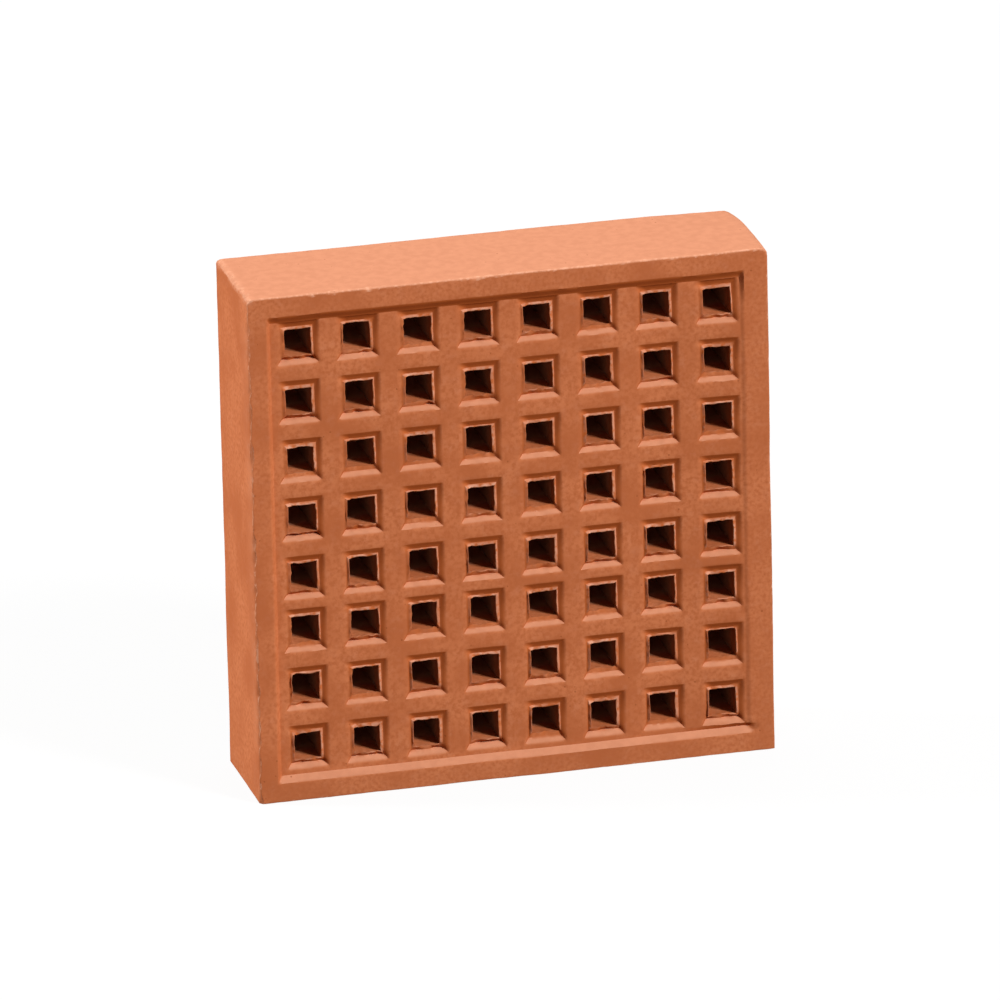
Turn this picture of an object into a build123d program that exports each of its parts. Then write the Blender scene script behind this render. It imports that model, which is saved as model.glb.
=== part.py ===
"""A square terracotta air brick with eight columns and eight rows of square vents.

The brick stands on its bed as it is built into a wall. Its face looks along -Y, +Z is up,
and the origin is on the floor, under the middle of the bed. Lengths are in millimetres.
"""
import os

from build123d import *

# The block
face_width = 215.0
face_height = 215.0
thickness = 53.0
corner_radius = 1.0
rubbed_corner_radius = 3.5
arris_radius = 0.8

# The sunk panel inside the flat frame of the face
frame_width = 8.55
recess_run = 2.5
recess_depth = 2.4
panel_margin = 1.2

# One vent: a flared mouth, a raised lip and a square hole
hole_width = 11.5
hole_height = 11.5
lip_width = 1.3
lip_crest_width = 0.6
lip_height = 0.9
flare_run_across = 1.8
flare_run_up = 2.45
flare_depth = 2.0

# The pattern, with the lower bank of rows set closer to the upper one
columns = 8
upper_rows = 5
lower_rows = 3
bank_closing = 2.35

# How far a cut runs past the face that it starts from or leaves by
overrun = 1.0

# Sizes that follow from those above
mouth_width = hole_width + 2 * lip_width
mouth_height = hole_height + 2 * lip_width
crest_width = hole_width + 2 * lip_crest_width
crest_height = hole_height + 2 * lip_crest_width
pocket_width = mouth_width + 2 * flare_run_across
pocket_height = mouth_height + 2 * flare_run_up
recess_width = face_width - 2 * frame_width
recess_height = face_height - 2 * frame_width
panel_width = recess_width - 2 * recess_run
panel_height = recess_height - 2 * recess_run
field_width = panel_width - 2 * panel_margin
field_height = panel_height - 2 * panel_margin
column_pitch = (field_width - pocket_width) / (columns - 1)
row_pitch = (field_height - pocket_height + bank_closing) / (upper_rows + lower_rows - 1)
upper_bank_rise = (field_height - pocket_height - (upper_rows - 1) * row_pitch) / 2
lower_bank_drop = (field_height - pocket_height - (lower_rows - 1) * row_pitch) / 2

# The plane of the face, seen from the front, and the levels behind it
face = Plane(origin=(0, -thickness / 2, face_height / 2), x_dir=(1, 0, 0), z_dir=(0, -1, 0))
panel_level = -recess_depth
foot_level = panel_level - flare_depth
crest_level = foot_level + lip_height

os.makedirs("parts", exist_ok=True)

# The clay that one vent takes away, with the face's own plane as its XY plane
with BuildPart() as vent:
    with BuildSketch(Plane.XY.offset(panel_level)):
        Rectangle(pocket_width, pocket_height)
    with BuildSketch(Plane.XY.offset(foot_level)):
        Rectangle(mouth_width, mouth_height)
    loft()
    with BuildSketch(Plane.XY.offset(panel_level)):
        Rectangle(pocket_width, pocket_height)
    extrude(amount=overrun)
    # The lip stays behind as a tapered collar on the foot of the flare
    with BuildSketch(Plane.XY.offset(foot_level)):
        Rectangle(mouth_width, mouth_height)
    with BuildSketch(Plane.XY.offset(crest_level)):
        Rectangle(crest_width, crest_height)
    loft(mode=Mode.SUBTRACT)
    # The square hole goes through to the back of the brick
    with BuildSketch(Plane.XY.offset(panel_level)):
        Rectangle(hole_width, hole_height)
    extrude(amount=-(thickness + overrun + panel_level))

# The brick, pressed and fired as one piece
with BuildPart(face) as air_brick:
    with BuildSketch(face) as outline:
        Rectangle(face_width, face_height)
        fillet(outline.vertices().group_by(Axis.Y)[0], radius=corner_radius)
        fillet(outline.vertices().group_by(Axis.Y)[-1].sort_by(Axis.X)[0], radius=corner_radius)
        fillet(outline.vertices().group_by(Axis.Y)[-1].sort_by(Axis.X)[-1], radius=rubbed_corner_radius)
    extrude(amount=-thickness)
    front_and_back = air_brick.faces().filter_by(Axis.Y)
    fillet(front_and_back.edges(), radius=arris_radius)
    # The panel lies sunk behind the frame, with sloping sides
    with BuildSketch(face):
        Rectangle(recess_width, recess_height)
    with BuildSketch(face.offset(panel_level)):
        Rectangle(panel_width, panel_height)
    loft(mode=Mode.SUBTRACT)
    # The two banks of vents
    with Locations((0, upper_bank_rise)):
        with GridLocations(column_pitch, row_pitch, columns, upper_rows):
            add(vent.part, mode=Mode.SUBTRACT)
    with Locations((0, -lower_bank_drop)):
        with GridLocations(column_pitch, row_pitch, columns, lower_rows):
            add(vent.part, mode=Mode.SUBTRACT)

air_brick.part.label = "air_brick"
export_step(air_brick.part, "parts/air_brick.step")
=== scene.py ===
"""Looks of a terracotta air brick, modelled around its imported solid.

The brick is one fired piece, so one mesh stands for its one node. The face looks along -Y and
+Z is up. Lengths are in metres and angles in degrees unless a name says otherwise.
"""

import bisect
import logging
import math
import random
from dataclasses import astuple, dataclass, field
from enum import Enum

import bmesh
import bpy
from mathutils import Euler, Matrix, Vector, noise


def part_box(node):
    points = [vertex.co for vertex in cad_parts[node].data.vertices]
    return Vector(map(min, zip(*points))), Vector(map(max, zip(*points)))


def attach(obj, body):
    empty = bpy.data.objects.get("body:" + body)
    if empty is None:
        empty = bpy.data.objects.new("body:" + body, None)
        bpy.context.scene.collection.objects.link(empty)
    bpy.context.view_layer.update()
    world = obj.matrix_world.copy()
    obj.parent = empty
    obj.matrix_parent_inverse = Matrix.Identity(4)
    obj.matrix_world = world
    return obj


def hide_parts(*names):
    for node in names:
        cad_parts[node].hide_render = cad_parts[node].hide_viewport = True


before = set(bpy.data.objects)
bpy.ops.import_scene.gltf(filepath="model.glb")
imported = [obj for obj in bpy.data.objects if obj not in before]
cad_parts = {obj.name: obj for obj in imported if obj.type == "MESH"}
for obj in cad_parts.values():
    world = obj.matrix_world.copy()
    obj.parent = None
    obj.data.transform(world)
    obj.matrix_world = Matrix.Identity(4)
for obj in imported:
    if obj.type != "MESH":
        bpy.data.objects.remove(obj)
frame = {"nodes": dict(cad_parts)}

LOG = logging.getLogger("air_brick")
MM = 0.001
TINY = 1e-7
NODE = "air_brick"
BODY = "root"
WHITE = (1.0, 1.0, 1.0, 1.0)

Mesh = bmesh.types.BMesh
Vert = bmesh.types.BMVert
Edge = bmesh.types.BMEdge
Face = bmesh.types.BMFace
Layer = bmesh.types.BMLayerItem
Socket = bpy.types.NodeSocket
Colour = tuple[float, float, float, float]
Span = tuple[float, float]


class Axis(Enum):
    """The axes of the brick, by their place in a vector."""

    ACROSS = 0
    DEPTH = 1
    UP = 2


class Side(Enum):
    """The sides of a vent, in quarter turns from the right side by way of the top."""

    RIGHT = 0
    TOP = 1
    LEFT = 2
    BOTTOM = 3

    def holds(self, turn: float) -> bool:
        """Says whether a place lies on this side, clear of its corners."""
        return abs((turn - self.value + 2) % 4 - 2) < 0.5


class Mark(Enum):
    """What the vertices tell the finish, by the name of the mesh's attribute."""

    # How worn and pale a vertex is; on the arrises this paleness is also a painted highlight.
    WEAR = "wear"
    THROAT = "throat"
    # How far a vertex takes the darker painted-shade colour: painted shade on slopes facing away from the
    # lamps, on hole walls, on torn lips and beside nicks.
    LEE = "lee"
    # How pale a lip is: torn clay, and a painted highlight on the lit top and right lips.
    FRAY = "fray"


def clamp(value: float, low: float = 0.0, high: float = 1.0) -> float:
    """Keeps a value between two limits."""
    return max(low, min(high, value))


def add_object(name: str, data: bpy.types.ID) -> bpy.types.Object:
    """Puts a new object in the scene.

    Args:
        name: the object's name.
        data: the mesh, lamp or camera that it holds.

    Returns:
        The object, at the origin.
    """
    made = bpy.data.objects.new(name, data)
    bpy.context.scene.collection.objects.link(made)
    return made


def add_mesh(name: str, mesh: Mesh) -> bpy.types.Object:
    """Turns a finished mesh into an object of the scene.

    Args:
        name: the name of the object and its mesh.
        mesh: the mesh, which is let go of.

    Returns:
        The object, at the origin.
    """
    data = bpy.data.meshes.new(name)
    mesh.to_mesh(data)
    mesh.free()
    return add_object(name, data)


@dataclass(frozen=True)
class Ripple:
    """Smooth noise round a base, with a shift that tells it apart from the others."""

    size: float
    wavelength: float
    shift: float = 0.0
    base: float = 0.0

    def at(self, place: Vector, seed: float = 0.0) -> float:
        """Reads the noise at a place, with a seed for one vent or axis."""
        shift = self.shift + seed
        return self.base + self.size * noise.noise(place / self.wavelength + Vector((shift, shift, shift)))

    def patch(self, place: Vector, seed: float = 0.0) -> float:
        """Reads the noise as patches, from 0 outside them to 1 inside."""
        return clamp(self.at(place, seed))


@dataclass
class Ruling:
    """Lines ruled across a sheet along one axis, and the pieces that each strip is cut into."""

    lines: list[float]
    pieces: list[int] = field(default_factory=list)

    def extend(self, width: float, pieces: int) -> None:
        """Adds a strip of some width, cut into a number of pieces."""
        self.lines.append(self.lines[-1] + width)
        self.pieces.append(pieces)

    def pieces_at(self, place: float) -> int:
        """Finds the pieces of the strip that holds a distance along the axis."""
        strip = bisect.bisect_right(self.lines, place) - 1
        return self.pieces[int(clamp(strip, 0, len(self.pieces) - 1))]


@dataclass(frozen=True)
class Sides:
    """A value for each side of a vent, blended into one another over the corners."""

    right: float
    top: float
    left: float
    bottom: float

    def at(self, turn: float, blend: float) -> float:
        """Reads the value at some place round the vent.

        Args:
            turn: quarter turns from the middle of the right side, by way of the top.
            blend: the share of a quarter turn over which one side goes over into the next.

        Returns:
            The value at that place.
        """
        values = (self.right, self.top, self.left, self.bottom, self.right)
        side = min(int(turn), 3)
        share = clamp((turn - side - 0.5) / blend + 0.5)
        return values[side] + (values[side + 1] - values[side]) * share

    def push(self, across: float, up: float) -> Vector:
        """The outward move of a place, given as shares of half the width and height there."""
        x = across * (self.right if across > 0 else self.left)
        return Vector((x, 0.0, up * (self.top if up > 0 else self.bottom)))


@dataclass(frozen=True)
class Round:
    """A value that changes round a vent, given at stations and drawn straight between them."""

    stations: tuple[tuple[float, float], ...]

    def at(self, turn: float) -> float:
        """Reads the value at some place round the vent.

        Args:
            turn: quarter turns from the middle of the right side, by way of the top.

        Returns:
            The value at that place.
        """
        after = bisect.bisect([station for station, _ in self.stations], turn)
        after = min(after, len(self.stations) - 1)
        (first, low), (second, high) = self.stations[after - 1], self.stations[after]
        return low + (high - low) * clamp((turn - first) / (second - first))


@dataclass(frozen=True)
class VentSection:
    """The section of one vent, measured back from the sunk panel."""

    hole: float = 11.5 * MM
    lip_width: float = 0.8 * MM
    lip_crest_width: float = 0.3 * MM
    lip_height: float = 0.9 * MM
    flare_run_across: float = 2.3 * MM
    flare_run_up: float = 2.95 * MM
    flare_depth: float = 2.0 * MM
    flare_falls: Round = Round((
        (0.0, 1.0 * MM), (0.35, 1.4 * MM), (0.5, 1.55 * MM), (1.43, 1.50 * MM), (1.48, 0.5 * MM),
        (1.56, 0.22 * MM), (2.0, 0.12 * MM), (2.35, 0.18 * MM), (2.46, 0.5 * MM), (2.5, 1.6 * MM),
        (3.5, 1.6 * MM), (3.6, 0.95 * MM), (3.8, 0.85 * MM), (4.0, 1.0 * MM),
    ))
    flare_hollows: Round = Round((
        (0.0, 0.65), (0.35, 1.0), (0.5, 1.25), (1.5, 1.25), (1.6, 1.0),
        (3.5, 1.0), (3.6, 0.6), (4.0, 0.65),
    ))
    lip_heights: Sides = Sides(0.35 * MM, 0.30 * MM, 0.65 * MM, 0.40 * MM)
    lip_hooks: Sides = Sides(0.0, 0.0, 0.12 * MM, 0.0)
    # Paleness of the lips by side, highest on the lit top and right: torn clay with a painted highlight.
    lip_paleness: Sides = Sides(0.62, 0.68, 0.36, 0.12)
    # Painted shade, by place round the vent: on the flares and lips that face away from the key lamp, and on
    # the hole walls but not the floor.
    flare_lee: Round = Round((
        (0.0, 0.9), (0.5, 1.0), (1.44, 1.0), (1.52, 0.0), (3.45, 0.0), (3.55, 0.9), (4.0, 0.9),
    ))
    lip_lee: Sides = Sides(0.2, 0.3, 0.9, 0.0)
    throat_lee: Sides = Sides(1.0, 1.0, 1.0, 0.0)
    corner_blend: float = 0.2
    lee_blend: float = 0.1
    throat_blend: float = 0.02
    floor_rise: float = 0.02
    outline_leans: Sides = Sides(0.0, 0.2 * MM, 0.0, -0.65 * MM)
    last_outline_leans: Sides = Sides(0.0, 0.2 * MM, 0.0, -0.15 * MM)
    foot_leans: Sides = Sides(0.0, 0.60 * MM, 0.35 * MM, 0.35 * MM)
    hole_leans: Sides = Sides(-0.28 * MM, 0.42 * MM, -0.05 * MM, -0.66 * MM)
    crest_fall: float = 0.08 * MM
    back_dip: float = 0.25 * MM
    throat_depths: tuple[float, ...] = (3.6 * MM, 6.0 * MM, 16.0 * MM)
    side_pieces: int = 14
    flare_pieces: int = 3
    lip_pieces: int = 2

    @property
    def half_hole(self) -> float:
        """Half the clear width of the hole."""
        return self.hole / 2

    @property
    def half_crest(self) -> float:
        """Half the width over the outer edge of the lip's crest."""
        return self.half_hole + self.lip_crest_width

    @property
    def half_mouth(self) -> float:
        """Half the width over the foot of the lip."""
        return self.half_hole + self.lip_width

    @property
    def half_width(self) -> float:
        """Half the width of the flared outline."""
        return self.half_mouth + self.flare_run_across

    @property
    def half_height(self) -> float:
        """Half the height of the flared outline."""
        return self.half_mouth + self.flare_run_up

    @property
    def crest_depth(self) -> float:
        """How far the lip's crest lies behind the panel."""
        return self.flare_depth - self.lip_height

    def turn(self, across: float, up: float, depth: float) -> float:
        """Finds how far round the vent a place is.

        Args:
            across: the distance to the right of the vent's middle.
            up: the distance above the vent's middle.
            depth: the depth of the place as it is drawn, which tells how wide the vent is there.

        Returns:
            Quarter turns from the middle of the right side, by way of the top.
        """
        out = clamp(1 - depth / self.flare_depth)
        width = self.half_mouth + out * self.flare_run_across
        height = (self.half_mouth + out * self.flare_run_up) / width
        return math.atan2(up / height, across) % math.tau / (math.tau / 4)

    def pieces_at(self, reach: float) -> int:
        """The pieces, from its outer to its inner edge, of the ring at some reach from the middle."""
        inner = self.lip_pieces if reach > self.half_crest + TINY else 1
        return self.flare_pieces if reach > self.half_mouth + TINY else inner


@dataclass(frozen=True)
class Vent:
    """One vent of the face, with its row from the top and how its lip turned out."""

    row: int
    x: float
    z: float
    seed: float
    lip: Sides
    shift: Sides
    droop: float
    slit: float

    def reach(self, place: Vector) -> float:
        """The larger of the distances across and up from the vent's middle."""
        return max(abs(place.x - self.x), abs(place.z - self.z))


@dataclass(frozen=True)
class LipChances:
    """The ranges that lips are drawn from. Heights are shares of the height in the section."""

    bottom_kept: float = 0.6
    height: Span = (0.7, 1.3)
    left_height: Span = (0.1, 0.5)
    left_gain: float = 0.9
    bottom_height: Span = (0.7, 1.5)
    lost_height: Span = (-0.6, 0.0)
    strays: Sides = Sides(0.38 * MM, 0.50 * MM, 0.28 * MM, 0.28 * MM)
    droop: Span = (0.5, 1.0)
    least_droop: float = 0.25
    slit: Span = (0.4, 0.9)
    seed: Span = (0.0, 50.0)


@dataclass(frozen=True)
class Border:
    """One side of the face: the flat frame and the slope down to the sunk panel.

    Where the share is less than one, the panel comes down only so far over the slope, and takes the rest
    of its depth over a longer spread.
    """

    frame: float
    run: float
    share: float = 1.0
    spread: float = 30 * MM

    def sunk(self, inset: float, full: float = 1.0) -> float:
        """Finds how far the panel has gone down.

        Args:
            inset: the distance from the outer edge.
            full: how much of the depth is taken over the slope in any case, near the ends of the side.

        Returns:
            The depth there as a share of the panel's own.
        """
        slope = clamp((inset - self.frame) / self.run)
        share = max(self.share, full)
        return slope * (share + (1 - share) * clamp((inset - self.frame - self.run) / self.spread))


@dataclass(frozen=True)
class Wear:
    """How far the fired surface strays from the drawn shape."""

    # The surface as a whole
    warp: Ripple = Ripple(0.22 * MM, 34 * MM)
    waver: Ripple = Ripple(0.10 * MM, 7 * MM, 5.0)
    axis_shift: float = 11.0
    edge_softening: float = 0.35
    fold_cosine: float = 0.97
    crease: float = 34.0
    back_sag: float = 0.8 * MM
    sag_length: float = 40 * MM
    top_front_fall: float = 0.4 * MM
    top_front_length: float = 9 * MM
    # Arrises and corners
    arris_radius: float = 0.35 * MM
    top_arris_radius: float = 0.75 * MM
    # Paleness of the arrises: wear, and a painted highlight along the rounded edge.
    arris_paleness: float = 0.7
    arris_fade: float = 1.2
    chips: Ripple = Ripple(1.2 * MM, 4.2 * MM, 4.0, base=-0.336 * MM)
    nicks: Ripple = Ripple(0.6 * MM, 1.7 * MM, 8.0, base=-0.09 * MM)
    top_nicks: tuple[tuple[float, float], ...] = (
        (27.0 * MM, 0.9 * MM), (36.4 * MM, 0.7 * MM), (50.3 * MM, 1.3 * MM), (94.0 * MM, 1.0 * MM),
    )
    nick_half_width: float = 1.8 * MM
    bottom_corner: float = 0.25 * MM
    left_corner: float = 2.4 * MM
    corner_rough: Ripple = Ripple(0.8, 4.2 * MM, 2.0, base=1.0)
    corner_paleness: float = 0.42
    rubbed_front: float = 3.0 * MM
    rubbed_middle: float = 1.6 * MM
    rubbed_back: float = 5.0 * MM
    rubbed_front_end: float = 0.35
    rubbed_back_start: float = 0.7
    rubbed_back_power: float = 1.5
    left_bite: float = 1.5 * MM
    bites: Ripple = Ripple(1.2, 4.4 * MM, 6.3, base=0.35)
    # Painted shadows of nicks beside the left arris.
    nick_shadow: float = 0.8
    nick_shadows: Ripple = Ripple(2.0, 4.4 * MM, 1.7)
    rubbed_side: float = 12 * MM
    rubbed_side_paleness: float = 0.3
    rubs: Ripple = Ripple(1.0, 8.8 * MM, 3.1, base=0.6)
    # The panel and its vents
    groove: Ripple = Ripple(1.0, 6 * MM, 2.0, base=0.6)
    slope_rough: Ripple = Ripple(0.4 * MM, 2.9 * MM)
    lip_tears: Ripple = Ripple(1.0, 2.3 * MM)
    lip_fine_tears: Ripple = Ripple(0.6, 2.3 / 2.2 * MM, 9.0)
    lip_bends: Ripple = Ripple(0.5, 5.06 * MM, 3.0)
    lip_droops: Ripple = Ripple(1.6, 5.06 * MM, 3.0, base=0.2)
    lip_slits: Ripple = Ripple(2.2, 3.68 * MM, 6.0, base=0.4)
    lip_rags: Sides = Sides(0.45, 1.0, 1.0, 1.0)
    lip_rag: float = 0.42 * MM
    lip_lean: float = 0.42 * MM
    lip_fade: float = 1.6
    torn_paleness: float = 0.5
    whole_paleness: float = 0.8
    # Painted shade on the lips where they are torn.
    lip_shade: float = 0.6
    shade_start: float = 0.3


@dataclass
class AirBrick:
    """The fired brick: a flat frame round a sunk panel with a grid of flared vents."""

    low: Vector
    high: Vector
    section: VentSection = VentSection()
    wear: Wear = Wear()
    chances: LipChances = LipChances()
    panel_inset: float = 12.25 * MM
    recess_depth: float = 2.4 * MM
    left: Border = Border(7.9 * MM, 1.7 * MM)
    right: Border = Border(9.9 * MM, 1.6 * MM, share=0.22)
    low_right: Border = Border(7.5 * MM, 3.9 * MM, share=0.42)
    bottom: Border = Border(8.0 * MM, 2.6 * MM)
    top: Border = Border(8.9 * MM, 3.1 * MM)
    deep_end: float = 18 * MM
    low_end: float = 1.6 * MM
    left_frame_dip: float = 0.5 * MM
    # Painted shade on the left slope of the recess.
    left_slope_lee: float = 0.2
    foot_groove: float = 0.4 * MM
    columns: int = 8
    upper_rows: int = 5
    lower_rows: int = 3
    bank_closing: float = 2.35 * MM
    arris_band: float = 1.8 * MM
    arris_pieces: int = 4
    frame_pieces: int = 4
    slope_pieces: int = 3
    bar_pieces: int = 3
    edge_band: float = 0.5 * MM
    side_pieces: int = 12
    slit_depth: float = 1.7 * MM
    broken_lips: tuple[tuple[int, int], ...] = ((1, 1), (2, 2), (2, 3), (4, 1), (7, 1))
    seed: int = 7
    mesh: Mesh = field(init=False)
    layers: dict[Mark, Layer] = field(init=False)

    def __post_init__(self) -> None:
        """Works out the grid of vents and the lines that the sheets are ruled with."""
        self.width = self.high.x - self.low.x
        self.height = self.high.z - self.low.z
        self.thickness = self.high.y - self.low.y
        self.front = self.low.y
        self.back = self.high.y
        self.rows = self.upper_rows + self.lower_rows
        columns, rows = self._column_places(), self._row_places()
        self.vents = self._place_vents()
        self.column_walls = self._halfway(columns)
        self.row_walls = self._halfway(rows)
        self.across = self._rule(self.low.x, columns, self.section.half_width, self.left, self.right)
        self.up = self._rule(self.low.z, rows, self.section.half_height, self.bottom, self.top)

    @staticmethod
    def _halfway(places: list[float]) -> list[float]:
        """The middles between neighbouring places."""
        return [(first + second) / 2 for first, second in zip(places, places[1:])]

    def _column_places(self) -> list[float]:
        """The middles of the columns, from left to right."""
        inset = self.panel_inset + self.section.half_width
        pitch = (self.width - 2 * inset) / (self.columns - 1)
        return [self.low.x + inset + column * pitch for column in range(self.columns)]

    def _row_places(self) -> list[float]:
        """The middles of the rows, from the bottom up, with the upper bank brought closer to the lower."""
        inset = self.panel_inset + self.section.half_height
        pitch = (self.height - 2 * inset + self.bank_closing) / (self.rows - 1)
        places = [self.low.z + inset + row * pitch for row in range(self.rows)]
        upper_bank = [place - self.bank_closing for place in places[self.lower_rows:]]
        return places[:self.lower_rows] + upper_bank

    def _place_vents(self) -> list[Vent]:
        """Draws the vents, row after row from the top."""
        draw = random.Random(self.seed)
        return [
            self._draw_vent(draw, column, row, x, z)
            for row, z in enumerate(reversed(self._row_places()), start=1)
            for column, x in enumerate(self._column_places(), start=1)
        ]

    def _draw_vent(self, draw: random.Random, column: int, row: int, x: float, z: float) -> Vent:
        """Draws one vent.

        Its top lip droops more towards the lower left of the face, and its left lip stands higher towards
        the lower right.

        Args:
            draw: where the chances come from.
            column: the vent's column from the left.
            row: the vent's row from the top.
            x: the middle of the column.
            z: the middle of the row.

        Returns:
            The vent.
        """
        odds = self.chances
        broken = (row, column) in self.broken_lips
        kept = broken or draw.random() < odds.bottom_kept
        low_left = clamp((row - column + 2) / (self.columns - 1))
        low_right = (row + column - 2) / (self.rows + self.columns - 2)
        lip = Sides(
            right=draw.uniform(*odds.height),
            top=draw.uniform(*odds.height),
            left=draw.uniform(*odds.left_height) + odds.left_gain * low_right,
            bottom=draw.uniform(*(odds.bottom_height if kept else odds.lost_height)),
        )
        shift = Sides(*(draw.uniform(-1.0, 1.0) * stray for stray in astuple(odds.strays)))
        droop = odds.least_droop + (1 - odds.least_droop) * low_left
        droop *= draw.uniform(*odds.droop) * MM
        slit = 1.0 if broken else draw.uniform(*odds.slit) * kept
        return Vent(row, x, z, draw.uniform(*odds.seed), lip, shift, droop, slit)

    def _rule(self, start: float, middles: list[float], half: float, first: Border, last: Border) -> Ruling:
        """Rules the lines of one axis.

        Args:
            start: the outer edge that the lines start from.
            middles: the middles of the vents along the axis.
            half: half the outline of a vent along the axis.
            first: the border at the start.
            last: the border at the end.

        Returns:
            The ruled lines, with narrow strips beside every edge.
        """
        band = self.edge_band
        margin = self.panel_inset - last.frame - last.run
        ruling = Ruling([start])
        for width, pieces in self._border_strips(first):
            ruling.extend(width, pieces)
        for place, middle in enumerate(middles):
            gap = middle - half - band - ruling.lines[-1]
            if gap > band:
                ruling.extend(gap, self.bar_pieces if place else 1)
            ruling.extend(middle - half - ruling.lines[-1], 1)
            ruling.extend(2 * half, self.section.side_pieces)
            ruling.extend(min(band, margin / 2), 1)
        ruling.extend(middles[-1] + half + margin - ruling.lines[-1], 1)
        for width, pieces in reversed(self._border_strips(last)):
            ruling.extend(width, pieces)
        return ruling

    def _border_strips(self, border: Border) -> list[tuple[float, int]]:
        """The widths and pieces of a border's strips, from the outer edge in."""
        flat = border.frame - self.arris_band - self.edge_band
        return [
            (self.arris_band, self.arris_pieces), (flat, self.frame_pieces),
            (self.edge_band, 1), (border.run, self.slope_pieces),
        ]

    def vent_at(self, place: Vector) -> Vent | None:
        """Finds the vent whose outline holds a place.

        Args:
            place: any point of the brick.

        Returns:
            The vent, or None between the vents.
        """
        column = bisect.bisect(self.column_walls, place.x)
        row = bisect.bisect(self.row_walls, place.z)
        vent = self.vents[(len(self.row_walls) - row) * self.columns + column]
        if abs(place.x - vent.x) > self.section.half_width + TINY:
            return None
        return vent if abs(place.z - vent.z) <= self.section.half_height + TINY else None

    def _sheet(self, level: float) -> list[Face]:
        """Makes a flat sheet of the brick's outline, divided at the ruled lines.

        Args:
            level: its place along the depth.

        Returns:
            The faces where the vents are.
        """
        columns, rows = len(self.across.pieces), len(self.up.pieces)
        made = bmesh.ops.create_grid(self.mesh, x_segments=columns, y_segments=rows, size=1.0)["verts"]
        for vert in made:
            column = round((vert.co.x + 1) / 2 * columns)
            row = round((vert.co.y + 1) / 2 * rows)
            vert.co = (self.across.lines[column], level, self.up.lines[row])
        faces = dict.fromkeys(face for vert in made for face in vert.link_faces)
        return [face for face in faces if self._is_outline(face)]

    def _is_outline(self, face: Face) -> bool:
        """Says whether a face of a sheet is the outline of a vent."""
        middle = face.calc_center_median()
        return any(abs(middle.x - v.x) < MM and abs(middle.z - v.z) < MM for v in self.vents)

    def _press_vents(self, caps: list[Face]) -> None:
        """Presses each vent through to the back, ring after ring, and leaves it open there.

        Args:
            caps: the faces that are pressed in.
        """
        part = self.section
        crest = self.front + part.crest_depth
        squares = [
            (part.half_mouth, self.front + part.flare_depth),
            (part.half_crest, crest),
            (part.half_hole, crest + part.crest_fall),
            *((part.half_hole, self.front + depth) for depth in part.throat_depths),
            (part.half_hole, self.back - part.back_dip),
        ]
        rings = [(half, half, level) for half, level in squares]
        rings.append((part.half_width, part.half_height, self.back))
        for half_width, half_height, level in rings:
            caps = bmesh.ops.extrude_discrete_faces(self.mesh, faces=caps)["faces"]
            for cap in caps:
                middle = cap.calc_center_median()
                for vert in cap.verts:
                    vert.co.x = middle.x + math.copysign(half_width, vert.co.x - middle.x)
                    vert.co.z = middle.z + math.copysign(half_height, vert.co.z - middle.z)
                    vert.co.y = level
        bmesh.ops.delete(self.mesh, geom=caps, context="FACES_ONLY")

    def _wrap_sides(self) -> None:
        """Draws the rim of the front sheet back to the rim of the back sheet."""
        edges = [edge for edge in self.mesh.edges if edge.is_boundary and self._on_rim(edge)]
        middle = self.thickness - 2 * self.arris_band
        for step in (self.arris_band, middle, self.arris_band):
            made = bmesh.ops.extrude_edge_only(self.mesh, edges=edges)["geom"]
            verts = [item for item in made if isinstance(item, Vert)]
            bmesh.ops.translate(self.mesh, verts=verts, vec=(0.0, step, 0.0))
            kept = set(verts)
            edges = [item for item in made if isinstance(item, Edge) and kept.issuperset(item.verts)]

    def _on_rim(self, edge: Edge) -> bool:
        """Says whether an edge lies on the rim of the front sheet."""
        return all(self._on_side(vert.co) and abs(vert.co.y - self.front) < TINY for vert in edge.verts)

    def _on_side(self, place: Vector) -> bool:
        """Says whether a point lies on one of the four outer sides."""
        across = min(place.x - self.low.x, self.high.x - place.x)
        return min(across, place.z - self.low.z, self.high.z - place.z) < TINY

    def _cut_along(self, axis: Axis, ruling: Ruling) -> None:
        """Cuts the edges that run along one axis into the pieces that their strips ask for.

        Args:
            axis: the axis that the edges run along.
            ruling: the strips along that axis.
        """
        groups: dict[int, list[Edge]] = {}
        for edge in self.mesh.edges:
            first, second = (vert.co for vert in edge.verts)
            span = second - first
            length = abs(span[axis.value])
            if length > TINY and span.length - length < TINY * length:
                pieces = ruling.pieces_at((first + second)[axis.value] / 2)
                groups.setdefault(pieces, []).append(edge)
        self._cut(groups)

    def _cut_depth(self) -> None:
        """Cuts the edges that run back into the brick, on its sides and in its vents."""
        sides = Ruling([self.front])
        sides.extend(self.arris_band, self.arris_pieces)
        sides.extend(self.thickness - 2 * self.arris_band, self.side_pieces)
        sides.extend(self.arris_band, self.arris_pieces)
        groups: dict[int, list[Edge]] = {}
        for edge in self.mesh.edges:
            first, second = (vert.co for vert in edge.verts)
            if abs(second.y - first.y) < TINY:
                continue
            middle = (first + second) / 2
            on_side = self._on_side(middle)
            pieces = sides.pieces_at(middle.y) if on_side else self._ring_pieces(middle)
            groups.setdefault(pieces, []).append(edge)
        self._cut(groups)

    def _ring_pieces(self, middle: Vector) -> int:
        """The pieces of the vent ring that an edge's middle lies on."""
        vent = None if middle.y > self.front + self.thickness / 2 else self.vent_at(middle)
        return 1 if vent is None else self.section.pieces_at(vent.reach(middle))

    def _cut(self, groups: dict[int, list[Edge]]) -> None:
        """Cuts each group of edges into its number of pieces.

        Args:
            groups: the edges, by the number of pieces.
        """
        for pieces, edges in sorted(groups.items(), key=lambda item: item[0]):
            if pieces > 1:
                bmesh.ops.subdivide_edges(self.mesh, edges=edges, cuts=pieces - 1, use_grid_fill=True)

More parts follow.
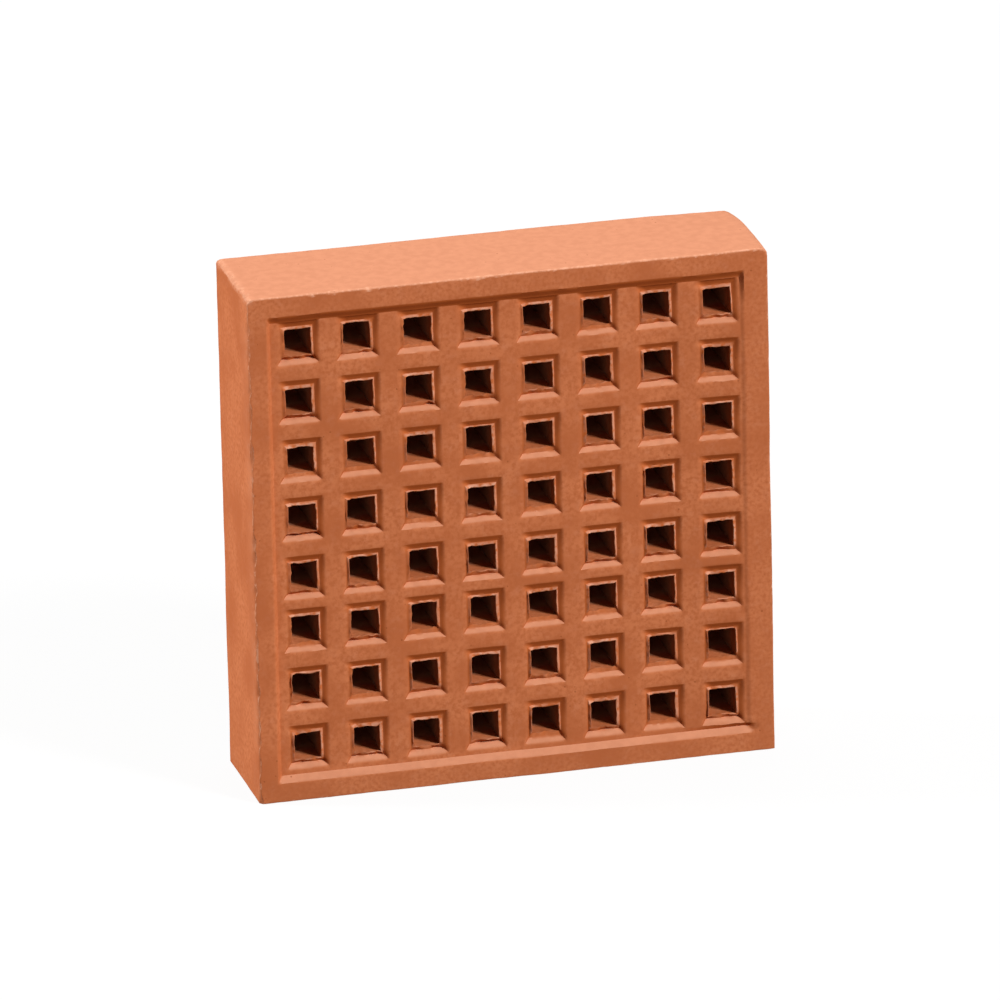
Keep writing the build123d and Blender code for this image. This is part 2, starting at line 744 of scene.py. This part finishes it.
    def _mark_throats(self) -> None:
        """Marks the walls of the holes, which take a painted shade darker than the face."""
        start = self.front + self.section.crest_depth
        end = self.back - 2 * self.section.back_dip
        for vert in self.mesh.verts:
            vent = self.vent_at(vert.co)
            if vent is not None and start < vert.co.y < end:
                wall = vent.reach(vert.co) < self.section.half_hole + TINY
                vert[self.layers[Mark.THROAT]] = 1.0 if wall else 0.0

    def _shape_vents(self) -> None:
        """Gives each side of a vent its own depth, and the lips their ragged edges."""
        for vert in self.mesh.verts:
            depth = vert.co.y - self.front
            vent = None if self._on_side(vert.co) else self.vent_at(vert.co)
            if vent is None or depth > self.section.throat_depths[-1]:
                continue
            if depth > self.section.throat_depths[0] - TINY:
                self._shape_throat(vert, vent, depth)
            elif vent.reach(vert.co) > self.section.half_mouth + TINY:
                self._shape_flare(vert, vent, depth)
            else:
                self._shape_lip(vert, vent)

    def _shape_throat(self, vert: Vert, vent: Vent, depth: float) -> None:
        """Lets the walls of the hole run on from its leaning edges, with a floor that rises a little.

        Args:
            vert: the vertex.
            vent: its vent.
            depth: its depth as drawn.
        """
        part = self.section
        across, up = vert.co.x - vent.x, vert.co.z - vent.z
        reach = vent.reach(vert.co)
        fade = 1 - clamp(depth / part.throat_depths[-1])
        vert.co += part.hole_leans.push(across / reach, up / reach) * fade
        vert.co += vent.shift.push(across / reach, up / reach) * fade
        vert.co.z += part.floor_rise * depth * clamp(-up / reach)
        turn = part.turn(across, up, part.flare_depth)
        # Painted shade on the walls of the hole, none on its floor.
        vert[self.layers[Mark.LEE]] = part.throat_lee.at(turn, part.throat_blend)

    def _shape_flare(self, vert: Vert, vent: Vent, depth: float) -> None:
        """Places one vertex of a flare, whose top and right sides take painted shade from half their depth
        on.

        Args:
            vert: the vertex.
            vent: its vent.
            depth: its depth as drawn.
        """
        part = self.section
        across, up = vert.co.x - vent.x, vert.co.z - vent.z
        turn = part.turn(across, up, depth)
        share = clamp(depth / part.flare_depth)
        fall = 1 - (1 - share) ** part.flare_hollows.at(turn)
        across /= part.half_mouth + (1 - share) * part.flare_run_across
        up /= part.half_mouth + (1 - share) * part.flare_run_up
        outline = part.last_outline_leans if vent.row == self.rows else part.outline_leans
        vert.co.y = self.front + part.flare_falls.at(turn) * fall
        vert.co += outline.push(across, up).lerp(part.foot_leans.push(across, up), share)
        if Side.BOTTOM.holds(turn):
            rough = self.wear.slope_rough.at(vert.co, vent.seed)
            vert.co += Vector((0.0, share * rough, rough))
        vert[self.layers[Mark.LEE]] = part.flare_lee.at(turn) * clamp(2 * share)

    def _shape_lip(self, vert: Vert, vent: Vent) -> None:
        """Places one vertex of a lip, which stands uneven and ragged round its hole.

        Args:
            vert: the vertex.
            vent: its vent.
        """
        part, wear = self.section, self.wear
        place = vert.co.copy()
        across, up, reach = place.x - vent.x, place.z - vent.z, vent.reach(place)
        turn = part.turn(across, up, part.flare_depth)
        share = clamp((part.half_mouth - reach) / (part.half_mouth - part.half_crest))
        torn = wear.lip_tears.at(place, vent.seed) + wear.lip_fine_tears.at(place, vent.seed)
        torn *= wear.lip_rags.at(turn, part.corner_blend)
        rise = vent.lip.at(turn, part.corner_blend)
        height = part.lip_heights.at(turn, part.corner_blend) * rise
        inner = reach < part.half_hole + TINY
        fall = part.crest_fall - part.lip_hooks.at(turn, part.corner_blend) if inner else 0.0
        vert.co.y = self.front + part.flare_falls.at(turn) - share * height + fall
        vert.co.y -= share * wear.lip_rag * torn
        bend = torn + wear.lip_bends.at(place, vent.seed)
        vert.co += Vector((across, 0, up)).normalized() * share * wear.lip_lean * bend
        across, up = across / reach, up / reach
        vert.co += part.foot_leans.push(across, up).lerp(part.hole_leans.push(across, up), share)
        vert.co += vent.shift.push(across, up) * share
        if Side.TOP.holds(turn):
            vert.co.z -= share * vent.droop * wear.lip_droops.patch(place, vent.seed)
        if Side.BOTTOM.holds(turn):
            gap = wear.lip_slits.patch(place, vent.seed)
            vert.co.y += (1 - share) * vent.slit * self.slit_depth * gap
        # Paler where torn, with a painted highlight on the lit sides.
        pale = clamp(wear.whole_paleness + wear.torn_paleness * torn) * clamp(1 - wear.lip_fade * (1 - rise))
        pale *= part.lip_paleness.at(turn, part.corner_blend)
        vert[self.layers[Mark.FRAY]] = pale * math.sqrt(share)
        # Painted shade on the lips, deeper where they are torn.
        lee = part.lip_lee.at(turn, part.lee_blend) + wear.lip_shade * clamp(wear.shade_start - torn)
        standing = clamp(vent.lip.left) if Side.LEFT.holds(turn) else 1.0
        vert[self.layers[Mark.LEE]] = clamp(lee) * standing

    def _sink_panel(self) -> None:
        """Sinks the panel and the fronts of its vents behind the frame, with sloping sides."""
        throat = self.section.throat_depths[0]
        for vert in self.mesh.verts:
            if self._on_side(vert.co):
                continue
            depth = vert.co.y - self.front
            from_left, from_right = vert.co.x - self.low.x, self.high.x - vert.co.x
            rise, down = vert.co.z - self.low.z, self.high.z - vert.co.z
            lower = clamp((down - self.top.frame) / self.deep_end)
            upper = clamp((rise - self.bottom.frame - self.bottom.run) / self.low_end)
            left = self.left.sunk(from_left)
            right = self.right.sunk(from_right, 1 - lower)
            right += (self.low_right.sunk(from_right) - right) * (1 - upper)
            bottom = self.bottom.sunk(rise)
            sunk = min(left, right, bottom, self.top.sunk(down))
            middle = min(lower, clamp((rise - self.bottom.frame) / self.deep_end))
            dip = self.left_frame_dip * middle * clamp(from_left / self.left.frame) * (1 - left)
            fade = 1 - clamp((depth - throat) / (self.thickness - throat))
            vert.co.y += max(self.recess_depth * sunk, dip) * fade
            # Paints shade on the left slope of the recess.
            if TINY < left < 1 - TINY and left == sunk:
                vert[self.layers[Mark.LEE]] = self.left_slope_lee
            at_foot = abs(rise - self.bottom.frame - self.bottom.run) < TINY
            if at_foot and depth < TINY and min(left, right, bottom) > 1 - TINY:
                vert.co.y += self.foot_groove * self.wear.groove.patch(vert.co)

    def _soften_edges(self) -> None:
        """Takes the sharpness off the edges of the recess and of the flared outlines."""
        panel = self.front + self.recess_depth
        soft = [
            vert for vert in self.mesh.verts
            if not self._on_side(vert.co) and vert.co.y <= panel + TINY and self._near_fold(vert)
        ]
        bmesh.ops.smooth_vert(
            self.mesh, verts=soft, factor=self.wear.edge_softening,
            use_axis_x=True, use_axis_y=True, use_axis_z=True,
        )

    def _near_fold(self, vert: Vert) -> bool:
        """Says whether the faces round a vertex meet at an angle."""
        faces = vert.link_faces
        return any(faces[0].normal.dot(face.normal) < self.wear.fold_cosine for face in faces)

    def _round_outline(self) -> None:
        """Rounds the arrises and corners, with chips and nicks along them."""
        layer = self.layers[Mark.WEAR]
        for vert in self.mesh.verts:
            place = vert.co.copy()
            depth = min(place.y - self.front, self.back - place.y)
            inset = self._round_corners(vert)
            radius = self._arris_radius(place)
            if inset > radius or depth > radius:
                continue
            into = Vector((radius - inset, radius - depth))
            if into.length > radius:
                into *= radius / into.length
            self._move_in(vert, radius - into.x - inset)
            toward_back = 1 if place.y - self.front < self.back - place.y else -1
            vert.co.y += toward_back * (radius - into.y - depth)
            # Pales the rounded arris: wear, and a painted highlight.
            worn = clamp(1 - self.wear.arris_fade * (1 - into.length / radius))
            vert[layer] = max(vert[layer], self.wear.arris_paleness * worn)

    def _arris_radius(self, place: Vector) -> float:
        """Finds how far the arris is worn back, with fewer chips away from the top's front edge.

        Args:
            place: a point of the brick, as it was before it was rounded.

        Returns:
            The radius of the arris there.
        """
        chipped = max(0.0, self.wear.chips.at(place)) + max(0.0, self.wear.nicks.at(place))
        if self.high.z - place.z < self.arris_band:
            if place.y - self.front < self.arris_band:
                return self.wear.top_arris_radius + chipped + self._struck(place)
            return self.wear.top_arris_radius + chipped / 3
        return self.wear.arris_radius + chipped / 2

    def _struck(self, place: Vector) -> float:
        """How far the nicks on the front edge of the top reach in at a place."""
        along, half = place.x - self.low.x, self.wear.nick_half_width
        return sum(size * clamp(1 - abs(along - middle) / half) for middle, size in self.wear.top_nicks)

    def _rubbed_radius(self, place: Vector) -> float:
        """Finds the radius of the rubbed corner, which is larger at the front and largest at the back.

        Args:
            place: a point of the brick.

        Returns:
            The radius at that depth.
        """
        wear = self.wear
        share = (place.y - self.front) / self.thickness
        front = clamp(1 - share / wear.rubbed_front_end)
        back = clamp((share - wear.rubbed_back_start) / (1 - wear.rubbed_back_start))
        radius = wear.rubbed_middle + (wear.rubbed_front - wear.rubbed_middle) * front
        return radius + (wear.rubbed_back - wear.rubbed_middle) * back ** wear.rubbed_back_power

    def _round_corners(self, vert: Vert) -> float:
        """Brings a vertex inside the rounded corners of the outline.

        Args:
            vert: the vertex, which is moved where it lies in a corner.

        Returns:
            How far inside the outline the vertex then lies.
        """
        place = vert.co
        right = place.x > self.low.x + self.width / 2
        top = place.z > self.low.z + self.height / 2
        radius = self.wear.bottom_corner
        if right and top:
            radius = self._rubbed_radius(place)
        elif top:
            radius = self.wear.left_corner * self.wear.corner_rough.at(place)
        in_across = self.high.x - place.x if right else place.x - self.low.x
        in_up = self.high.z - place.z if top else place.z - self.low.z
        if in_across >= radius or in_up >= radius:
            return min(in_across, in_up)
        into = Vector((radius - in_across, radius - in_up))
        reach = into.length
        scale = min(1.0, radius / reach) if reach > TINY else 1.0
        if top and not right:
            vert[self.layers[Mark.WEAR]] = self.wear.corner_paleness * clamp(reach / radius)
        vert.co.x += (into.x - into.x * scale) * (-1 if right else 1)
        vert.co.z += (into.y - into.y * scale) * (-1 if top else 1)
        return radius - reach * scale

    def _move_in(self, vert: Vert, step: float) -> None:
        """Moves a vertex some step inward, away from the nearest of the four outer sides.

        Args:
            vert: the vertex.
            step: how far it is moved.
        """
        to_low, to_high = vert.co - self.low, self.high - vert.co
        inward = {(1, 0): to_low.x, (-1, 0): to_high.x, (0, 1): to_low.z, (0, -1): to_high.z}
        x, z = min(inward, key=inward.get)
        vert.co += Vector((x * step, 0.0, z * step))

    def _bite_left(self) -> None:
        """Lets the left arris of the face wander in and out, with painted shadows of nicks beside it and a
        side that is worn paler near the front.
        """
        wear, band = self.wear, self.arris_band
        layer = self.layers[Mark.WEAR]
        for vert in self.mesh.verts:
            inset, depth = vert.co.x - self.low.x, vert.co.y - self.front
            if inset < TINY and depth < wear.rubbed_side:
                rubbed = wear.rubs.patch(vert.co)
                rubbed *= wear.rubbed_side_paleness * (1 - depth / wear.rubbed_side)
                vert[layer] = max(vert[layer], rubbed)
            if max(inset, depth) > band:
                continue
            near = (1 - inset / band) * (1 - depth / band)
            along = Vector((0.0, 0.0, vert.co.z))
            # Painted shadows of nicks beside the arris.
            if depth < TINY < inset:
                vert[self.layers[Mark.LEE]] = wear.nick_shadow * wear.nick_shadows.patch(along) * near
            vert.co.x += near * wear.bites.patch(along) * wear.left_bite

    def _warp(self) -> None:
        """Lets the whole surface wander a little, never past the box of the solid."""
        for vert in self.mesh.verts:
            place = vert.co.copy()
            place.z -= self._sag(place)
            for axis in Axis:
                shift = self.wear.axis_shift * axis.value
                move = self.wear.warp.at(place, shift) + self.wear.waver.at(place, shift)
                low, high = self.low[axis.value], self.high[axis.value]
                vert.co[axis.value] = clamp(place[axis.value] + move, low, high)

    def _sag(self, place: Vector) -> float:
        """Finds how far the top hangs down, at its worn front edge and towards the right end of its back.

        Args:
            place: a point of the brick.

        Returns:
            The fall there, which is 0 away from the top.
        """
        along = clamp(1 - (self.high.x - place.x) / self.wear.sag_length)
        back = clamp((place.y - self.front) / self.thickness)
        front = clamp(1 - (place.y - self.front) / self.wear.top_front_length)
        near_top = clamp(1 - (self.high.z - place.z) / self.top.frame)
        return (self.wear.back_sag * along * back + self.wear.top_front_fall * front) * near_top

    def _shade(self) -> None:
        """Shades the surface smoothly, except over creases."""
        crease = math.radians(self.wear.crease)
        for face in self.mesh.faces:
            face.smooth = True
        for edge in self.mesh.edges:
            edge.smooth = edge.calc_face_angle() < crease

    def build(self) -> bpy.types.Object:
        """Models the brick.

        Returns:
            The finished object, at the origin, with its place in its mesh.
        """
        self.mesh = bmesh.new()
        self._press_vents(self._sheet(self.front))
        bmesh.ops.delete(self.mesh, geom=self._sheet(self.back), context="FACES_ONLY")
        self._wrap_sides()
        bmesh.ops.remove_doubles(self.mesh, verts=self.mesh.verts, dist=TINY * 10)
        self._cut_along(Axis.ACROSS, self.across)
        self._cut_along(Axis.UP, self.up)
        self._cut_depth()
        self.layers = {mark: self.mesh.verts.layers.float.new(mark.value) for mark in Mark}
        self._mark_throats()
        self._shape_vents()
        self._sink_panel()
        bmesh.ops.recalc_face_normals(self.mesh, faces=self.mesh.faces)
        self._soften_edges()
        self._round_outline()
        self._bite_left()
        self._warp()
        bmesh.ops.recalc_face_normals(self.mesh, faces=self.mesh.faces)
        self._shade()
        return add_mesh("brick_body", self.mesh)

    def dress(self, brick: bpy.types.Object, clay: bpy.types.Material) -> None:
        """Gives the brick its finish and its place in the frame.

        Args:
            brick: the modelled brick.
            clay: the finish of its surface.
        """
        brick.data.materials.append(clay)
        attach(brick, BODY)
        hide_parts(NODE)


class NodeSheet:
    """A node tree that is filled from left to right."""

    def __init__(self, tree: bpy.types.NodeTree) -> None:
        """Empties the tree."""
        self.tree = tree
        self.tree.nodes.clear()

    def add(self, kind: str, links: dict | None = None, **settings: object) -> bpy.types.Node:
        """Adds a node.

        Args:
            kind: the node's type name.
            links: what goes into its sockets, by name or number: a socket, or a plain value.
            settings: the node's own properties.

        Returns:
            The new node.
        """
        node = self.tree.nodes.new(kind)
        for name, value in settings.items():
            setattr(node, name, value)
        for key, value in (links or {}).items():
            if isinstance(value, Socket):
                self.tree.links.new(value, node.inputs[key])
            else:
                node.inputs[key].default_value = value
        return node

    def math(self, operation: str, first: object, second: object) -> Socket:
        """Works something out from two values or sockets."""
        return self.add("ShaderNodeMath", {0: first, 1: second}, operation=operation).outputs[0]

    def times(self, first: object, second: object) -> Socket:
        """Multiplies two values or sockets."""
        return self.math("MULTIPLY", first, second)

    def span(self, value: Socket, limits: Span) -> Socket:
        """Stretches the part of a value between two limits to the range from 0 to 1."""
        links = {0: value, 1: limits[0], 2: limits[1]}
        return self.add("ShaderNodeMapRange", links, interpolation_type="SMOOTHSTEP").outputs[0]

    def blend(self, amount: object, under: object, over: object) -> Socket:
        """Lays some amount of one colour over another."""
        return self.add("ShaderNodeMix", {0: amount, 6: under, 7: over}, data_type="RGBA").outputs[2]

    def noise(self, place: Socket, lumps: Span) -> Socket:
        """Reads noise at a place, with lumps of some scale and detail."""
        links = {"Vector": place, "Scale": lumps[0], "Detail": lumps[1]}
        return self.add("ShaderNodeTexNoise", links).outputs[0]

    def mark(self, mark: Mark) -> Socket:
        """Reads what the vertices tell the finish."""
        return self.add("ShaderNodeAttribute", attribute_name=mark.value).outputs["Fac"]

    def seen_directly(self) -> Socket:
        """Tells rays that show the background from rays that carry light.

        Returns:
            1 for a ray from the camera, a reflection or a clear body, and otherwise 0.
        """
        path = self.add("ShaderNodeLightPath").outputs
        shown = self.math("MAXIMUM", path["Is Camera Ray"], path["Is Glossy Ray"])
        return self.math("MAXIMUM", shown, path["Is Transmission Ray"])


@dataclass(frozen=True)
class FiredClay:
    """Unglazed terracotta: matt and sandy, paler on top with dust and a painted sheen, darker with painted
    shade on surfaces facing away from the lamps and in the holes, and pale where it is torn or worn, with
    painted highlights on lips and arrises.
    """

    front: float
    body: Colour = (0.562, 0.183, 0.075, 1.0)
    deep: Colour = (0.455, 0.130, 0.047, 1.0)
    # Painted shade: a darker, more saturated clay for surfaces that face away from the lamps.
    painted_shade_colour: Colour = (0.435, 0.105, 0.025, 1.0)
    pale: Colour = (0.670, 0.415, 0.315, 1.0)
    # Worn paleness of arrises and corners, which on the arrises is also a painted highlight.
    rubbed: Colour = (0.760, 0.390, 0.250, 1.0)
    # Dust and a painted sheen on what faces up.
    dust_and_sheen: Colour = (0.630, 0.264, 0.148, 1.0)
    trodden_dust_and_sheen: Colour = (0.580, 0.238, 0.132, 1.0)
    pit: Colour = (0.270, 0.070, 0.022, 1.0)
    # Painted shade inside the holes: near walls, deep walls and deep floors.
    near_hole_shade: Colour = (0.300, 0.085, 0.030, 1.0)
    deep_wall_shade: Colour = (0.360, 0.220, 0.155, 1.0)
    deep_floor_shade: Colour = (0.600, 0.375, 0.270, 1.0)
    clouds: Span = (40.0, 5.0)
    blotches: Span = (260.0, 4.0)
    grains: Span = (640.0, 4.0)
    dashes: Span = (520.0, 3.0)
    pit_scale: float = 260.0
    cloud_span: Span = (0.35, 0.70)
    bloom_span: Span = (0.45, 0.85)
    bloom: float = 0.08
    grain_span: Span = (0.35, 0.75)
    upward_span: Span = (0.20, 0.60)
    downward_span: Span = (-0.10, -0.45)
    trodden_span: Span = (0.30, 0.70)
    pit_span: Span = (0.13, 0.07)
    pitted_span: Span = (0.46, 0.38)
    pit_strength: float = 0.6
    rub_span: Span = (0.42, 0.62)
    least_rub: float = 0.2
    dash_span: Span = (0.35, 0.55)
    # Depths over which the painted shade in the holes comes in, on walls and on floors.
    wall_shade_depths: Span = (3.0 * MM, 17.0 * MM)
    floor_shade_depths: Span = (11.0 * MM, 20.0 * MM)
    relief_share: float = 0.5
    bump: float = 0.4
    bump_height: float = 0.2 * MM
    roughness: float = 0.9
    roughness_spread: float = 0.06
    specular: float = 0.05

    def material(self) -> bpy.types.Material:
        """Makes the material.

        Returns:
            The finished material.
        """
        made = bpy.data.materials.new("fired_clay")
        made.use_nodes = True
        sheet = NodeSheet(made.node_tree)
        coordinates = sheet.add("ShaderNodeTexCoord").outputs
        place = coordinates["Object"]
        facing = sheet.add("ShaderNodeSeparateXYZ", {0: coordinates["Normal"]}).outputs["Z"]
        blotch = sheet.noise(place, self.blotches)
        grain = sheet.noise(place, self.grains)
        holes = sheet.add("ShaderNodeTexVoronoi", {"Vector": place, "Scale": self.pit_scale})
        pits = sheet.span(holes.outputs["Distance"], self.pit_span)
        pits = sheet.times(pits, sheet.span(blotch, self.pitted_span))
        colour = self._fired(sheet, place, blotch, grain)
        # Dust and painted sheen on up-facing surfaces, painted shade on down-facing and marked ones.
        colour = self._dust_and_paint_sheen(sheet, colour, facing, blotch)
        colour = sheet.blend(sheet.times(pits, self.pit_strength), colour, self.pit)
        colour = self._worn(sheet, colour, place, grain)
        # Painted shade in the holes.
        colour = self._paint_hole_shade(sheet, colour, place, facing)
        relief = sheet.times(sheet.math("ADD", grain, blotch), self.relief_share)
        relief = sheet.math("SUBTRACT", relief, sheet.times(pits, self.relief_share))
        bump = sheet.add(
            "ShaderNodeBump", {"Strength": self.bump, "Distance": self.bump_height, "Height": relief}
        )
        low, high = self.roughness - self.roughness_spread, self.roughness + self.roughness_spread
        rough = sheet.add("ShaderNodeMapRange", {0: blotch, 3: low, 4: high})
        shader = sheet.add("ShaderNodeBsdfPrincipled", {
            "Base Color": colour,
            "Roughness": rough.outputs[0],
            "Specular IOR Level": self.specular,
            "Normal": bump.outputs[0],
        })
        sheet.add("ShaderNodeOutputMaterial", {"Surface": shader.outputs[0]})
        return made

    def _fired(self, sheet: NodeSheet, place: Socket, blotch: Socket, grain: Socket) -> Socket:
        """Mixes the clay itself.

        Args:
            sheet: the node sheet of the clay.
            place: the Object coordinates.
            blotch: the noise of blotches.
            grain: the noise of grains.

        Returns:
            Its colour.
        """
        cloud = sheet.span(sheet.noise(place, self.clouds), self.cloud_span)
        colour = sheet.blend(cloud, self.body, self.deep)
        colour = sheet.blend(sheet.times(sheet.span(blotch, self.bloom_span), self.bloom), colour, self.pale)
        return sheet.blend(sheet.span(grain, self.grain_span), colour, self.deep)

    def _dust_and_paint_sheen(self, sheet: NodeSheet, colour: Socket, facing: Socket, blotch: Socket) -> Socket:
        """Lays dust and a painted sheen on what faces up, outside the holes, and painted shade on
        down-facing and marked surfaces.

        Args:
            sheet: the node sheet of the clay.
            colour: the colour without dust, sheen and painted shade.
            facing: how far the surface faces up.
            blotch: the noise of blotches.

        Returns:
            The colour with dust, painted sheen and painted shade.
        """
        outside = sheet.math("SUBTRACT", 1.0, sheet.mark(Mark.THROAT))
        # Dust and painted sheen on up-facing surfaces, outside the holes.
        dust_and_sheen_share = sheet.times(sheet.span(facing, self.upward_span), outside)
        dust_and_sheen_tint = sheet.blend(sheet.span(blotch, self.trodden_span), self.dust_and_sheen, self.trodden_dust_and_sheen)
        # Painted shade on down-facing surfaces and where the mesh marks it.
        downward = sheet.span(facing, self.downward_span)
        painted_shade_share = sheet.math("MAXIMUM", sheet.mark(Mark.LEE), downward)
        return sheet.blend(painted_shade_share, sheet.blend(dust_and_sheen_share, colour, dust_and_sheen_tint), self.painted_shade_colour)

    def _worn(self, sheet: NodeSheet, colour: Socket, place: Socket, grain: Socket) -> Socket:
        """Makes rubbed arrises and torn lips pale: wear, and also a painted highlight.

        Args:
            sheet: the node sheet of the clay.
            colour: the colour without wear.
            place: the Object coordinates.
            grain: the noise of grains.

        Returns:
            The worn colour, with the painted highlights.
        """
        speckle = sheet.times(sheet.span(grain, self.rub_span), 1 - self.least_rub)
        speckle = sheet.math("ADD", speckle, self.least_rub)
        # Worn paleness, which on the arrises is also a painted highlight.
        colour = sheet.blend(sheet.times(sheet.mark(Mark.WEAR), speckle), colour, self.rubbed)
        # Pale dashes on the lips: torn clay and a painted highlight.
        dashes = sheet.span(sheet.noise(place, self.dashes), self.dash_span)
        return sheet.blend(sheet.times(dashes, sheet.mark(Mark.FRAY)), colour, self.pale)

    def _paint_hole_shade(self, sheet: NodeSheet, colour: Socket, place: Socket, facing: Socket) -> Socket:
        """Paints shade in the holes: a dark colour on their walls, and a paler one further back on their
        floors.

        Args:
            sheet: the node sheet of the clay.
            colour: the colour without the painted shade.
            place: the Object coordinates.
            facing: how far the surface faces up.

        Returns:
            The colour with the painted shade in the holes.
        """
        level = sheet.add("ShaderNodeSeparateXYZ", {0: place}).outputs["Y"]
        upward = sheet.span(facing, self.upward_span)
        walls, floors = (
            sheet.span(level, (self.front + start, self.front + full))
            for start, full in (self.wall_shade_depths, self.floor_shade_depths)
        )
        inside = sheet.add("ShaderNodeMix", {0: upward, 2: 1.0, 3: floors}).outputs[0]
        hole_shade = sheet.blend(upward, sheet.blend(walls, self.near_hole_shade, self.deep_wall_shade), self.deep_floor_shade)
        return sheet.blend(sheet.times(inside, sheet.mark(Mark.THROAT)), colour, hole_shade)


@dataclass(frozen=True)
class Softbox:
    """A square lamp that points at the brick."""

    name: str
    azimuth: float
    elevation: float
    distance: float
    side: float
    level: float

    def build(self, aim: Vector) -> None:
        """Hangs the lamp.

        Args:
            aim: the point that it lights, where a white card facing it shows its level.
        """
        a, e = math.radians(self.azimuth), math.radians(self.elevation)
        toward = Vector((math.sin(a) * math.cos(e), -math.cos(a) * math.cos(e), math.sin(e)))
        data = bpy.data.lights.new(self.name, "AREA")
        data.size = self.side
        data.energy = self.level * (math.pi * self.distance) ** 2
        lamp = add_object(self.name, data)
        lamp.location = aim + toward * self.distance
        lamp.rotation_euler = toward.to_track_quat("Z", "Y").to_euler()


@dataclass(frozen=True)
class PhotoCamera:
    """The camera of the photograph, aimed near the middle of the face."""

    azimuth: float = -13.96
    elevation: float = 19.46
    roll: float = -1.24
    distance: float = 5.692
    lens: float = 509.65
    aim_right: float = -5.41 * MM
    aim_up: float = 10.63 * MM
    sight: float = 100.0

    def build(self, face_middle: Vector) -> None:
        """Sets the camera up and lets the scene use it.

        Args:
            face_middle: the middle of the brick's face.
        """
        turn = Euler((math.radians(90 - self.elevation), 0.0, math.radians(self.azimuth))).to_matrix()
        turn = turn @ Euler((0.0, 0.0, math.radians(self.roll))).to_matrix()
        right, up, back = turn.col
        data = bpy.data.cameras.new("photo_camera")
        data.lens = self.lens
        data.clip_end = self.sight
        camera = add_object("photo_camera", data)
        camera.location = face_middle + right * self.aim_right + up * self.aim_up + back * self.distance
        camera.rotation_euler = turn.to_euler()
        bpy.context.scene.camera = camera


@dataclass(frozen=True)
class Studio:
    """The pale floor, the white background and the soft lamps."""

    aim: Vector
    floor_side: float = 14.0
    floor_pieces: int = 4
    floor_drop: float = 0.05 * MM
    floor_bounce: Colour = (0.14, 0.085, 0.05, 1.0)
    card: Colour = (0.9, 0.9, 0.9, 1.0)
    shadow_share: float = 0.07
    ambient: float = 0.08
    ambient_colour: Colour = (1.0, 0.80, 0.60, 1.0)
    softboxes: tuple[Softbox, ...] = (
        Softbox("key_softbox", 40.0, 33.5, 8.0, 1.85, 1.275),
        Softbox("top_softbox", 180.0, 78.0, 3.0, 1.2, 0.33),
        Softbox("side_softbox", -110.0, 20.0, 4.0, 0.8, 1.12),
    )

    def build(self) -> None:
        """Builds the floor, the background and the lamps."""
        self._floor()
        self._background()
        for softbox in self.softboxes:
            softbox.build(self.aim)

    def _floor(self) -> None:
        """Lays the pale floor, which keeps the brick's shadow."""
        mesh = bmesh.new()
        pieces = self.floor_pieces
        bmesh.ops.create_grid(mesh, x_segments=pieces, y_segments=pieces, size=self.floor_side / 2)
        bmesh.ops.translate(mesh, verts=mesh.verts, vec=(0.0, 0.0, -self.floor_drop))
        floor = add_mesh("floor", mesh)
        floor.data.materials.append(self._floor_finish())

    def _floor_finish(self) -> bpy.types.Material:
        """Makes the floor's material: white to the eye, with a soft shadow, and a dim bounce."""
        made = bpy.data.materials.new("pale_floor")
        made.use_nodes = True
        sheet = NodeSheet(made.node_tree)
        dim = sheet.add("ShaderNodeBsdfDiffuse", {"Color": self.floor_bounce}).outputs[0]
        card = sheet.add("ShaderNodeBsdfDiffuse", {"Color": self.card}).outputs[0]
        glow = sheet.add("ShaderNodeEmission", {"Color": WHITE, "Strength": 1.0}).outputs[0]
        white = sheet.add("ShaderNodeMixShader", {0: self.shadow_share, 1: glow, 2: card}).outputs[0]
        mixed = sheet.add("ShaderNodeMixShader", {0: sheet.seen_directly(), 1: dim, 2: white})
        sheet.add("ShaderNodeOutputMaterial", {"Surface": mixed.outputs[0]})
        return made

    def _background(self) -> None:
        """Makes the world: white to the eye, with a dim even light."""
        world = bpy.data.worlds.new("studio")
        world.use_nodes = True
        sheet = NodeSheet(world.node_tree)
        dim, white = (
            sheet.add("ShaderNodeBackground", {"Color": colour, "Strength": strength}).outputs[0]
            for colour, strength in ((self.ambient_colour, self.ambient), (WHITE, 1.0))
        )
        mixed = sheet.add("ShaderNodeMixShader", {0: sheet.seen_directly(), 1: dim, 2: white})
        sheet.add("ShaderNodeOutputWorld", {"Surface": mixed.outputs[0]})
        bpy.context.scene.world = world


def main() -> None:
    """Builds the brick and its studio."""
    logging.basicConfig(level=logging.INFO, format="%(name)s: %(message)s")
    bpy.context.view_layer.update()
    low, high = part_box(NODE)
    brick = AirBrick(low, high)
    body = brick.build()
    brick.dress(body, FiredClay(front=low.y).material())
    LOG.info("%s: %d vertices, %d faces", body.name, len(body.data.vertices), len(body.data.polygons))
    face_middle = Vector(((low.x + high.x) / 2, low.y, (low.z + high.z) / 2))
    Studio(aim=face_middle).build()
    PhotoCamera().build(face_middle)
    bpy.context.scene.view_settings.view_transform = "Standard"


if __name__ == "__main__":
    main()
